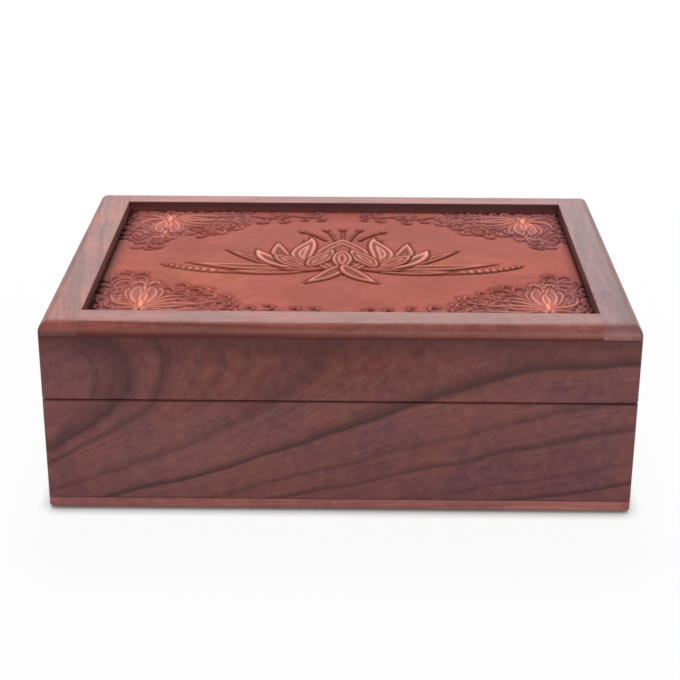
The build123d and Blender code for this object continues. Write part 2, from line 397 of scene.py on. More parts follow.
anyBoard = {
    "straight": 0.0,  # 1 is quarter-sawn, with none of the arches
    "lines": 0.6,  # how strong the fibre lines are, and below it the dark streaks
    "streaked": 0.9,
    "roughness": 0.46,
    "specular": 0.3,
    "skin": halfBox,
    "skinDepth": 0.8,
    "marksAndShadeLines": (),  # height, reach, strength; and fall and fading toward the right
}
walnut = {
    **anyBoard,
    "warm": "#804841",
    "cool": "#6a3e45",
    "deep": "#45272b",
    "glint": "#935f55",
    "streak": "#34191c",
    "blush": "#6a2e20",
    "pale": "#966058",
    # dark joint lines at the seam, the base and the frame's foot, painted shade beside them, and a wide band of
    # painted shade below the frame's rounded edge
    "marksAndShade": "#3e0a04",
    "marksAndShadeLines": ((seam, 0.9, 0.85), (plateTop, 0.6, 0.55), (frameFoot, 1.6, 0.9), (frameFoot, 12.0, 0.55)),
    "specular": 0.25,
}
rails = {
    **anyBoard,
    "warm": "#ae5547",
    "drift": "#93514b",
    "cool": "#88473f",
    "deep": "#683730",
    "glint": "#b6705f",
    "streak": "#4a2d28",
    # the tone of the painted shade on the frame's inner faces
    "shade": "#432729",
    # painted shade over the joint at the frame's foot and up the lower part of the rounded edge, fading toward the
    # right, and a dark streak that runs down across the rounded edge
    "marksAndShade": "#530e07",
    "marksAndShadeLines": ((frameFoot, 1.4, 1.0), (frameFoot, 5.6, 1.0, 0.0, 0.95), (76.2, 0.8, 0.6, 4.4, 0.8)),
    "skin": halfRounding,
    "well": (95.75, 66.40),  # half the opening
    "wellRamp": (72.4, 74.6, 0.52, 0.88),  # two heights, and how much painted shade its faces take there
    "straight": 0.75,
    "roughness": 0.38,
    "specular": 0.28,
    "streaked": 0.6,
}
# its inner face takes a lighter painted shade, and its rounded edge a narrower band of painted shade
leftRail = {
    **rails,
    "shade": "#8a5f5e",
    "marksAndShade": "#4a2a27",
    "marksAndShadeLines": ((frameFoot, 1.4, 0.9), (frameFoot, 4.0, 0.8)),
}
rightRail = {  # a greyer piece; its inner face takes a lighter painted shade, and its rounded edge has a paler band where the other rails have painted shade
    **rails,
    "warm": "#86504d",
    "drift": "#86504d",
    "cool": "#75454a",
    "deep": "#583437",
    "glint": "#9a6c68",
    "shade": "#7a4e4d",
    "marksAndShade": "#a06b68",
    "marksAndShadeLines": ((73.2, 4.4, 0.5),),
}
plate = {
    **anyBoard,
    "warm": "#905452",
    "drift": "#c07a70",
    "cool": "#905250",
    "deep": "#724040",
    "glint": "#bd7e6e",
    "streak": "#61383b",
    # a dark joint line under the boards, and painted shade along the plate's lower edge
    "marksAndShade": "#3a1614",
    "marksAndShadeLines": ((plateTop, 0.5, 0.6), (1.0, 0.5, 0.5)),
    "straight": 0.85,
    "streaked": 0.4,
    "specular": 0.25,
}
birch = {  # its top, under the leather, is brown with glue
    **anyBoard,
    "warm": "#b58a5e",
    "cool": "#a67c52",
    "deep": "#94693f",
    "glint": "#c79b6d",
    "streak": "#7c5532",
    "marksAndShade": "#2c1a14",
    "marksAndShadeLines": ((frameFoot, 0.3, 1.0),),
    "skin": (0.0, 0.0),
    "straight": 0.9,
    "streaked": 0.15,
    "roughness": 0.6,
}


def makeWoods():
    # each board's figure is shifted by so many metres, so that no two show the same one
    # Walnut, planed and rubbed with oil: purple-brown with dark soft streaks and a low satin shine
    front = sawnWood("oiledWalnutLengthwise", walnut, (0.0, 0.07925, 0.0), patched=True)
    side = sawnWood("oiledWalnutCrosswise", walnut, (0.03, 0.02, 0.0), turned=True)
    for part in ("case", "lid"):
        dress([f"{part}_front_board", f"{part}_back_board"], front)
        dress([f"{part}_left_board", f"{part}_right_board"], side)
    # the frame's walnut is sanded smoother, with straighter lines; its inner faces take painted shade, darkest on
    # the long rails
    long = sawnWood("sandedWalnutLengthwise", rails, (0.02, 0.31, -0.02))
    dress(["frame_front_rail", "frame_back_rail"], long)
    short = sawnWood("sandedWalnutCrosswise", leftRail, (-0.03, 0.11, -0.025), turned=True)
    dress(["frame_left_rail"], short)
    greyer = sawnWood("sandedWalnutGreyer", rightRail, (0.04, -0.13, 0.02), turned=True)
    dress(["frame_right_rail"], greyer)
    # a redder board from another tree, with little figure
    dress(["base_plate"], sawnWood("oiledRedwoodPlate", plate, (0.05, 0.2, 0.01)))
    # the divider's faces are planed and oiled like the boards, without their dark joint lines and painted shade
    clean = {**walnut, "marksAndShadeLines": (), "straight": 0.5}
    dress(["deck_divider"], sawnWood("oiledWalnutDivider", clean, (0.1, 0.4, 0.03), turned=True))
    # birch plywood, sanded: pale, close and straight in the grain
    dress(["lid_panel"], sawnWood("sandedBirchPly", birch, (0.0, 0.6, 0.0)))


makeWoods()
print("boards, frame and base dressed")


# Brass hinges and rubber pads
fittings = {
    "brass": ((0.35, "#8f7040"), (0.6, "#cba768")),  # dulled, bright
    "brushing": (60.0, 4000.0, 4000.0),  # lines about 17 mm long and a quarter of a millimetre apart
    "dulling": 260.0,  # spots 4 mm across
    "brassRoughness": (0.26, 0.42),
    "rubber": ((0.35, "#1b1716"), (0.7, "#38302d")),  # bare, with bloom
    "bloom": 900.0,  # 1 mm
    "rubberRoughness": 0.78,
}


def rolledBrass():
    # Brass, rolled and brushed along the leaf, a little dulled: warm yellow with fine lines along the hinge
    material, add = newMaterial("brushedBrass")
    spot = add("ShaderNodeTexCoord").outputs["Object"]
    lines = add("ShaderNodeMapping", {"Vector": spot, "Scale": fittings["brushing"]})
    brushed = add("ShaderNodeTexNoise", {"Vector": lines, "Scale": 1.0, "Detail": 3.0})
    dull = add("ShaderNodeTexNoise", {"Vector": spot, "Scale": fittings["dulling"], "Detail": 4.0})
    least, most = fittings["brassRoughness"]
    surface = add(
        "ShaderNodeBsdfPrincipled",
        {
            "Base Color": add("ShaderNodeValToRGB", {0: dull}, stops=fittings["brass"]),
            "Metallic": 1.0,
            "Roughness": add("ShaderNodeMapRange", {0: brushed, 1: 0.3, 2: 0.7, 3: least, 4: most}),
            "Normal": add("ShaderNodeBump", {"Height": brushed, "Strength": 0.3, "Distance": 0.03 * mm}),
        },
    )
    add("ShaderNodeOutputMaterial", {"Surface": surface})
    return material


def mouldedRubber():
    # Black rubber, moulded, with a fine dusty bloom
    material, add = newMaterial("mouldedRubber")
    spot = add("ShaderNodeTexCoord").outputs["Object"]
    bloom = add("ShaderNodeTexNoise", {"Vector": spot, "Scale": fittings["bloom"], "Detail": 4.0})
    surface = add(
        "ShaderNodeBsdfPrincipled",
        {
            "Base Color": add("ShaderNodeValToRGB", {0: bloom}, stops=fittings["rubber"]),
            "Roughness": fittings["rubberRoughness"],
            "Normal": add("ShaderNodeBump", {"Height": bloom, "Strength": 0.3, "Distance": 0.1 * mm}),
        },
    )
    add("ShaderNodeOutputMaterial", {"Surface": surface})
    return material


dress([name for name in nodes if "hinge" in name], rolledBrass())
dress([name for name in nodes if name.endswith("_pad")], mouldedRubber())
print("hinges and pads dressed")


# Felt linings
felt = {
    "spacing": 1.6 * mm,
    "softEdge": 0.8 * mm,
    "edgeDrop": 0.45,  # of the felt's thickness
    "ripple": 0.06 * mm,
    "fibres": 1400.0,  # 0.7 mm; real ones are finer, and these are as fine as shows
    "clouds": 60.0,  # 17 mm
    "tones": ((0.55, "#3a161b"), (0.95, "#5d2a30")),
    "sheen": "#c08a8c",
}


def pressedFelt():
    # Wool felt, pressed: matt, with short matted fibres and a faint soft sheen
    material, add = newMaterial("pressedWoolFelt")
    spot = add("ShaderNodeTexCoord").outputs["Object"]
    fibres = add("ShaderNodeTexNoise", {"Vector": spot, "Scale": felt["fibres"], "Detail": 5.0, "Distortion": 2.2})
    clouds = add("ShaderNodeTexNoise", {"Vector": spot, "Scale": felt["clouds"], "Detail": 3.0})
    mixed = add("ShaderNodeMath", {0: clouds, 1: 0.5, 2: fibres}, operation="MULTIPLY_ADD")
    surface = add(
        "ShaderNodeBsdfPrincipled",
        {
            "Base Color": add("ShaderNodeValToRGB", {0: mixed}, stops=felt["tones"]),
            "Roughness": 0.95,
            "Sheen Weight": 0.35,
            "Sheen Roughness": 0.5,
            "Sheen Tint": paint(felt["sheen"]),
            "Normal": add("ShaderNodeBump", {"Height": fibres, "Strength": 0.7, "Distance": 0.25 * mm}),
        },
    )
    add("ShaderNodeOutputMaterial", {"Surface": surface})
    return material


def feltSheet(name, node, body, material, faceDown=False):
    low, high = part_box(node)
    nx = int((high.x - low.x) / felt["spacing"])
    ny = int((high.y - low.y) / felt["spacing"])
    gx, gy = np.meshgrid(np.linspace(low.x, high.x, nx + 1), np.linspace(low.y, high.y, ny + 1))
    rim = np.minimum(np.minimum(gx - low.x, high.x - gx), np.minimum(gy - low.y, high.y - gy))
    thick = high.z - low.z
    drop = thick * felt["edgeDrop"] * np.clip(1 - rim / felt["softEdge"], 0, 1) ** 2
    ripple = felt["ripple"] * (1 + np.sin(gx * 190 + np.sin(gy * 130)) * np.cos(gy * 160 + 1.3)) / 2
    face = thick - drop - ripple
    flat = np.zeros_like(face)
    upper, lower = (low.z + face, low.z + flat) if not faceDown else (high.z - flat, high.z - face)
    count = gx.size
    points = np.concatenate([np.stack([gx.ravel(), gy.ravel(), side.ravel()], 1) for side in (lower, upper)])
    row = nx + 1
    a = (np.arange(ny)[:, None] * row + np.arange(nx)[None]).ravel()
    faces = [(i + row, i + row + 1, i + 1, i) for i in a]
    faces += [(count + i, count + i + 1, count + i + row + 1, count + i + row) for i in a]
    edge = list(range(nx)) + [nx + row * i for i in range(ny)]
    edge += [ny * row + nx - i for i in range(nx)] + [row * (ny - i) for i in range(ny)]
    faces += [(i, j, j + count, i + count) for i, j in zip(edge, edge[1:] + edge[:1])]
    piece = newPiece(name, points.tolist(), faces, material)
    piece.data.shade_smooth()
    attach(piece, body)
    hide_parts(node)


wool = pressedFelt()
feltSheet("left_floor_lining", "left_floor_felt", "case", wool)
feltSheet("right_floor_lining", "right_floor_felt", "case", wool)
feltSheet("lid_lining", "lid_felt", "lid", wool, faceDown=True)
print("felt laid")


# Tooled leather. The relief is worked out on a fine grid: every petal, leaf and bead is a curved line with a
# width that swells and tapers, laid one over another as a tooler carves them, from the back ones to the front ones.
leather = {
    "halfWidth": 95.4,
    "halfDepth": 66.05,
    "step": 0.25,  # grid spacing, all in millimetres
    "triangles": 176000,
    "cutDepth": 0.46,  # of the line cut round each form
    "cutWidth": 0.46,
    "bevelDepth": 0.30,  # the ground pressed down beside a form
    "bevelReach": 1.2,
    "bevelFloor": -0.66,
    "cutPaste": 0.78,  # how dark the paste is in a cut
    "smear": (0.30, 0.7),  # and beside it, and how far it reaches there
    "petalRise": 0.54,
    "ridge": 0.62,  # half width of the raised line along a petal's edge
    "ridges": (1.35, 4.7),  # where the raised lines run in from the edge, in ridges, and the furrows inside them
    "furrows": (3.1, 6.4),
    "groundDrop": 0.20,  # of the matted ground behind the foliage
    "groundReach": 1.25,  # how far it goes past the foliage
    "lobes": 4.1,  # length of the foliage's largest lobes
    "rootX": (19.3, 16.8),  # of the blossoms, from the left rail and from the right one
    "rootY": (15.6, 12.5),  # from the front rail and from the back one
    "cornerRise": 0.88,  # the corners are carved a little lower than the middle
    "blossomReach": 6.0,  # round a blossom's heart the paste is wiped off and a highlight is painted
    "blossomGlow": (0.70, 0.85),  # the painted highlight there, and its share over a back corner as a whole
    "blossomClean": 0.80,
    "pasteLean": 0.36,  # the paste is darker toward the right
    "deepest": -0.80,
    "sideBurnishAndShade": 6.8,  # the dark band of burnish and painted shade that fades away from the frame, at its side rails and at its long rails
    "endBurnishAndShade": 1.0,
    "burnishShadeLean": 1.3,  # how much farther it reaches at the left rail than at the right one
    "burnishShadeCurve": 2.2,
    "clouds": 38.0,  # noise scales: clouds 26 mm across, blotches 4 mm, amber ones 60 mm
    "blotches": 260.0,
    "ambers": 17.0,
    "pebbles": 1300.0,  # 0.8 mm, with creases between them
    "creases": 700.0,
    "hide": ((0.36, "#a04738"), (0.64, "#b95747")),
    "amber": "#b4603f",
    "blotch": "#86402f",
    "back": "#94504a",
    "corner": "#ae6363",
    "wipedHighlight": ("#ffac98", "#ffa084"),  # a painted highlight on the raised lines where the paste is wiped off: in the middle, in the corners
    "paste": ("#501e17", "#4c4052"),
    "burnishAndShade": "#3a100b",
}

# how a form's half width runs from root to tip: exponents at the root and at the tip
outlines = {
    "petal": (0.70, 1.05),
    "flame": (0.95, 1.35),
    "ogee": (0.50, 1.25),
    "leaf": (0.60, 1.15),
    "round": (0.60, 0.50),
    "loop": (0.85, 0.62),
    "blade": (0.80, 0.55),
    "stem": (0.05, 0.30),
}


def smooth(low, high, value):
    t = np.clip((value - low) / (high - low), 0, 1)
    return t * t * (3 - 2 * t)


def swayLine(root, angles, length, steps=30):  # passes evenly through the given headings
    t = (np.arange(steps) + 0.5) / steps
    angle = np.radians(np.interp(t, np.linspace(0, 1, len(angles)), angles))
    x = root[0] + np.concatenate([[0], np.cumsum(np.sin(angle))]) * length / steps
    y = root[1] + np.concatenate([[0], np.cumsum(np.cos(angle))]) * length / steps
    return np.stack([x, y], 1)


class ReliefSheet:
    def __init__(self, x0, x1, y0, y1, step):
        self.step = step
        self.xs = np.linspace(x0, x1, int(round((x1 - x0) / step)) + 1)
        self.ys = np.linspace(y0, y1, int(round((y1 - y0) / step)) + 1)
        shape = (len(self.ys), len(self.xs))
        self.height, self.dark, self.glow = (np.zeros(shape) for _ in range(3))
        self.near = np.full(shape, 99.0)  # how far the foliage is

    def window(self, points, margin):
        x0, y0 = points.min(0) - margin
        x1, y1 = points.max(0) + margin
        cols = slice(*np.searchsorted(self.xs, (x0, x1)))
        rows = slice(*np.searchsorted(self.ys, (y0, y1)))
        return rows, cols

    def press(self, rows, cols, best, raised, tone, shine, ground, cutShare):
        height, dark = self.height[rows, cols], self.dark[rows, cols]
        inside = best < 0
        away = np.maximum(best, 0)
        cut = np.exp(-(((best - 0.15) / leather["cutWidth"]) ** 2)) * cutShare
        bevel = np.exp(-away / leather["bevelReach"]) * smooth(3.0, 1.5, best)
        outside = np.maximum(height - leather["bevelDepth"] * bevel, leather["bevelFloor"])
        self.height[rows, cols] = np.where(inside, raised, outside) - leather["cutDepth"] * cut
        smear, reach = leather["smear"]
        dark = np.where(inside, tone, np.maximum(dark, smear * cutShare * np.exp(-away / reach)))
        self.dark[rows, cols] = np.maximum(dark, leather["cutPaste"] * cut)
        self.glow[rows, cols] = np.where(inside, shine, self.glow[rows, cols] * (1 - cut))
        if ground:
            self.near[rows, cols] = np.minimum(self.near[rows, cols], best)

    def stamp(self, line, width, outline, profile, glow, rise=1.0, cut=1.0, ground=False, rooted=False, bold=1.0):
        rows, cols = self.window(line, width / 2 + 3.2)
        gx, gy = np.meshgrid(self.xs[cols], self.ys[rows])
        if gx.size == 0:
            return
        low, high = outlines[outline]
        peak = (low / (low + high)) ** low * (high / (low + high)) ** high
        best = np.full(gx.shape, 99.0)
        across = np.full(gx.shape, 99.0)
        along = np.zeros(gx.shape)
        count = len(line) - 1
        for i in range(count):
            ax, ay = line[i]
            bx, by = line[i + 1]
            dx, dy = bx - ax, by - ay
            t = np.clip(((gx - ax) * dx + (gy - ay) * dy) / (dx * dx + dy * dy), 0, 1)
            d = np.hypot(gx - ax - t * dx, gy - ay - t * dy)
            u = (i + t) / count
            half = width / 2 * np.maximum(u, 1e-4) ** low * np.maximum(1 - u, 1e-4) ** high / peak
            better = d - half < best
            best = np.where(better, d - half, best)
            across = np.where(better, d, across)
            along = np.where(better, u, along)
        deep = np.maximum(-best, 0)
        r = leather["ridge"] * bold
        lift = 1 - np.exp(-deep / 0.2)
        lit = (1 - 0.55 * along) if rooted else (0.65 + 0.35 * along)  # how strong the painted highlight is along the form
        if profile in ("rim", "double"):
            ridge, ridge2 = (np.exp(-(((deep - at * r) / r) ** 2)) for at in leather["ridges"])
            valley, valley2 = (np.exp(-(((deep - at * r) / r) ** 2)) for at in leather["furrows"])
            if profile == "double":
                ridge = np.maximum(ridge, 0.85 * ridge2)
                valley = np.maximum(valley, 0.9 * valley2)
            body = 0.20 + 0.80 * ridge - 0.30 * valley
            tone = (0.60 * valley + 0.10 * (deep > leather["furrows"][0] * r)) * (1 - 0.9 * ridge)
            shine = glow * (0.03 + 0.97 * ridge) * lit
        elif profile == "vein":
            groove = np.exp(-((across / 0.38) ** 2)) * smooth(0.04, 0.2, along) * (1 - smooth(0.70, 0.90, along))
            body = 1.0 - 0.55 * groove
            tone = 0.62 * groove
            shine = glow * (1 - groove) * lit
        else:
            body = np.ones(gx.shape)
            tone = np.zeros(gx.shape)
            shine = glow * lit
        self.press(rows, cols, best, leather["petalRise"] * rise * body * lift, tone, shine, ground, cut)

    def dot(self, x, y, radius, glow, ground=False, dish=0.0, tone=0.0, cut=0.9):
        rows, cols = self.window(np.array([[x, y]]), radius + 2.5)
        gx, gy = np.meshgrid(self.xs[cols], self.ys[rows])
        if gx.size == 0:
            return
        d = np.hypot(gx - x, gy - y)
        dome = leather["petalRise"] * np.sqrt(np.clip(1 - (d / radius) ** 2, 0, 1))
        hollow = np.exp(-((d / (0.5 * radius)) ** 2)) * dish
        shade = np.clip(tone + 0.7 * hollow, 0, 0.9)
        self.press(rows, cols, d - radius, dome * (1 - hollow), shade, glow * (1 - hollow), ground, cut)

    def curl(self, x, y, heading, side, size, glow):  # a long leaf that rolls in on an eye
        turns = [heading + side * a for a in (0, 8, 34, 100, 200)]
        line = swayLine((x, y), turns, 3.1 * size)
        eye = line[-1] + (line[-4] - line[-1]) * 0.3
        self.dot(eye[0], eye[1], 0.26 * size, glow, True, 0.2, 0.0, 0.6)
        self.stamp(line, 0.44 * size, "blade", "plain", glow, 0.8, 0.60, True)

    def foliage(self, root, angles, length, lobe, glow, seed):  # a curly sprig, from its tip back to its root
        rng = np.random.RandomState(seed)
        line = swayLine(root, angles, length)
        count = max(1, int(length / (1.25 * lobe)))
        for i in range(count, 0, -1):
            t = i / count
            x, y = line[int(t * (len(line) - 1))]
            heading = np.interp(t, np.linspace(0, 1, len(angles)), angles)
            size = lobe * (1.0 - 0.25 * t) * (0.80 + 0.4 * rng.rand())
            if i == count:
                self.curl(x, y, heading - 10, rng.choice((-1, 1)), size * 0.9, glow * rng.rand())
            for side in (-1, 1):
                turned = heading + side * (20 + 26 * rng.rand())
                self.curl(x, y, turned, side, size, glow * (0.4 + 0.6 * rng.rand()))
        self.stamp(line, 1.4, "stem", "plain", glow, 0.8, 0.7, True)


def carveMedallion(s):
    def pair(x, y, angles, length, width, outline, profile, glow, rise=1.0, bold=1.0, cut=1.0):
        for side in (-1, 1):
            line = swayLine((side * x, y), [side * a for a in angles], length)
            s.stamp(line, width, outline, profile, 0.86 * glow, rise, cut, bold=bold)

    # stamens, each with a dot at its end
    for x, y, angles, length in ((7, 26, (28, 56), 15.5), (3, 26, (8, 26), 14.5), (0, 26, (0, 0), 14.5)):
        pair(x, y, angles, length, 1.3, "stem", "plain", 0.0, 0.7, cut=0.75)
        for side in (-1, 1):
            s.dot(*swayLine((side * x, y), [side * a for a in angles], length)[-1], 1.35, 0.12, tone=0.22)
    # beaded straps, and the long leaves to the sides
    strap = (101, 92, 78, 60)
    pair(18, -10.5, strap, 57, 3.6, "leaf", "plain", 0.15, 0.6)
    for side in (-1, 1):
        line = swayLine((side * 18, -10.5), [side * a for a in strap], 57)
        for i in range(8):
            at = (0.60 + 0.36 * (i / 7) ** 0.92) * (len(line) - 1)
            j = int(at)
            x, y = line[j] + (line[j + 1] - line[j]) * (at - j)
            s.dot(x, y, 1.5 - 0.09 * i, 0.6)
    pair(14, -11, (100, 96, 90, 76), 33, 5.4, "leaf", "rim", 0.60)
    pair(28, -2, (58, 50, 34), 18, 3.6, "leaf", "vein", 0.15, 0.8)
    pair(17, -7.5, (92, 88, 80, 74), 47, 6.6, "leaf", "rim", 0.72, bold=1.1)
    pair(22, -6, (66, 54, 50, 46), 33, 5.2, "leaf", "rim", 0.58, bold=0.9)
    # petals, from the back row to the front row: pointed, with tips that sway like flames
    pair(12, -2, (34, 8, -10, 20), 30, 7.0, "petal", "vein", 0.10, 0.9)
    pair(14, -4, (62, 40, 4, 8), 32.5, 8.6, "petal", "rim", 0.75, bold=1.35)
    pair(16, -7, (74, 52, 32, 10), 31, 8.4, "petal", "rim", 1.05, bold=1.6)
    pair(13.2, -5, (26, 12, -16, -14, 22), 37, 9.8, "flame", "double", 1.0, bold=1.3)
    s.stamp(swayLine((0, -6), (0, 0), 34.5), 24.0, "ogee", "double", 0.55, bold=1.3)
    pair(13.5, -6.5, (56, 46, 40), 20.5, 9.0, "petal", "double", 0.68, bold=1.05)
    pair(13.2, -6.5, (-16, -30, -28, -14), 23.5, 8.2, "petal", "double", 0.75, bold=1.05)
    # the bud, and the two leaves that part under it
    s.stamp(swayLine((0, -8), (0, 0), 19), 8.6, "loop", "double", 0.72, bold=1.0)
    pair(8, -9, (102, 92, 84), 18, 3.8, "leaf", "vein", 0.2, 0.9)
    pair(0.4, -4.5, (168, 150, 138, 132), 26, 7.2, "petal", "rim", 0.80, bold=1.25)


def carveCorner(s, seed, root):
    # distances from the panel's corner: x along the long edge, y along the short edge
    rng = np.random.RandomState(seed)
    # scrolls along the long edge, then curly foliage that fans out from under the blossom
    for start, angles, length, share, glow in (
        ((72, 6), (66, 96), 11, 0.80, 0.15),
        ((54, 5), (50, 88), 14, 1.0, 0.15),
        (root, (98, 88, 92), 33, 0.9, 0.6),
        (root, (86, 74, 82), 30, 1.0, 0.5),
        (root, (68, 58, 70), 26, 1.0, 0.4),
        (root, (46, 38, 52), 24, 1.0, 0.25),
        (root, (-12, -16, 0), 34, 1.0, 0.25),
        (root, (-36, -38, -12), 28, 1.0, 0.3),
        (root, (-62, -58, -20), 19, 0.95, 0.4),
        (root, (-92, -90, -70), 16, 0.9, 0.35),
        (root, (-125, -118, -95), 18, 0.85, 0.2),
        (root, (-160, -140, -110), 16, 0.85, 0.2),
        (root, (165, 135, 105), 15, 0.85, 0.2),
        (root, (125, 108, 96), 32, 0.85, 0.3),
    ):
        sway = [a + 8 * (rng.rand() - 0.5) for a in angles]
        reach = length * (0.95 + 0.10 * rng.rand())
        s.foliage(start, sway, reach, leather["lobes"] * share, glow, rng.randint(1, 9999))
    # tendrils
    for angles, length, width in (
        ((142, 106, 78, 108, 84), 36, 1.9),
        ((124, 92, 62, 104, 76), 31, 2.0),
        ((100, 70, 104, 62, 86), 34, 2.1),
        ((82, 48, 92, 58), 25, 2.0),
        ((60, 34, 86, 20), 24, 1.9),
        ((-150, -104, -118, -70), 15, 1.8),
        ((-104, -64, -2, -40), 24, 1.9),
        ((-40, -16, 26, -44), 31, 1.8),
        ((-22, -2, 14, -54), 36, 1.7),
        ((22, 4, -14, 46), 27, 1.7),
        ((42, 20, -10, 66), 23, 1.8),
    ):
        s.stamp(swayLine(root, angles, length), width, "leaf", "plain", 0.6, 0.9, 0.8, True, True)
    # the blossom: looped petals, the back row first
    for angles, length, width, outline, glow in (
        ((-44, -18, 8), 19.5, 4.0, "loop", 0.8),
        ((44, 18, -8), 19.5, 4.0, "loop", 0.8),
        ((-3, 2, -4), 29, 2.8, "leaf", 1.1),
        ((-27, -6, 16), 19.5, 5.2, "loop", 1.2),
        ((27, 6, -16), 19.5, 5.2, "loop", 1.2),
        ((-2, 3, 0), 13.5, 3.8, "loop", 1.3),
    ):
        sway = [a + 6 * (rng.rand() - 0.5) for a in angles]
        profile = "rim" if outline == "loop" else "plain"
        s.stamp(swayLine(root, sway, length), width, outline, profile, glow, 1.0, 0.9, True, True, 0.80)
    for side in (-1, 1):
        s.curl(root[0] + 0.4 * side, root[1] + 20, 8 * side, side, 2.8, 0.8)
        foot = swayLine(root, (180 - 24 * side, 180 + 10 * side), 8)
        s.stamp(foot, 2.0, "leaf", "plain", 1.0, 0.9, 0.8, True, True)
    s.stamp(swayLine((root[0], root[1] - 4), (0, 0), 8), 2.4, "round", "plain", 1.3, 1.0, 0.8, True, True)


def carvePanel():
    w, d, step = leather["halfWidth"], leather["halfDepth"], leather["step"]
    full = ReliefSheet(-w, w, -d, d, step)
    for k, (flipX, flipY) in enumerate(((False, False), (True, False), (False, True), (True, True))):
        corner = ReliefSheet(0, w, 0, d, step)
        root = (leather["rootX"][flipX], leather["rootY"][flipY])
        carveCorner(corner, 11 + k, root)
        ground = smooth(leather["groundReach"] + 0.5, leather["groundReach"] - 0.7, corner.near)
        out = corner.near > 0
        corner.height = np.where(out, np.minimum(corner.height, 0) - leather["groundDrop"] * ground, corner.height)
        corner.height *= leather["cornerRise"]
        corner.dark = np.maximum(0.94 * corner.dark - 0.12, np.where(out, 0.17 * ground, 0.09))
        # round a blossom's heart the paste is wiped off and a highlight painted, less of it over a back corner
        away = np.hypot(corner.xs[None] - root[0], (corner.ys[:, None] - root[1] - 4) / 1.4)
        halo = np.exp(-((away / leather["blossomReach"]) ** 2))
        haloGlow, backGlow = leather["blossomGlow"]
        corner.glow = corner.glow + haloGlow * halo * (1 - 0.6 * ground)
        corner.dark = corner.dark * (1 - leather["blossomClean"] * halo)
        corner.glow *= backGlow if flipY else 1.0
        rows, cols = corner.near.shape
        for name in ("height", "dark", "glow"):
            turned = getattr(full, name)[:: -1 if flipY else 1, :: -1 if flipX else 1]
            turned[:rows, :cols] = getattr(corner, name)
    carveMedallion(full)
    gx, gy = np.meshgrid(full.xs, full.ys)
    side, end = w - np.abs(gx), d - np.abs(gy)
    # no painted highlight right beside the rails
    full.glow *= 1 - smooth(3.0, 0.5, np.minimum(side, end))
    full.dark *= 1 + leather["pasteLean"] * gx / w
    # the edge dips under the rails
    dip = np.maximum(0.85 * np.clip(1 - side / 1.4, 0, 1) ** 2, 0.12 * np.clip(1 - end / 0.9, 0, 1) ** 2)
    full.height = np.maximum(np.maximum(full.height, leather["deepest"]) - dip, leather["deepest"] - 0.35)
    return full


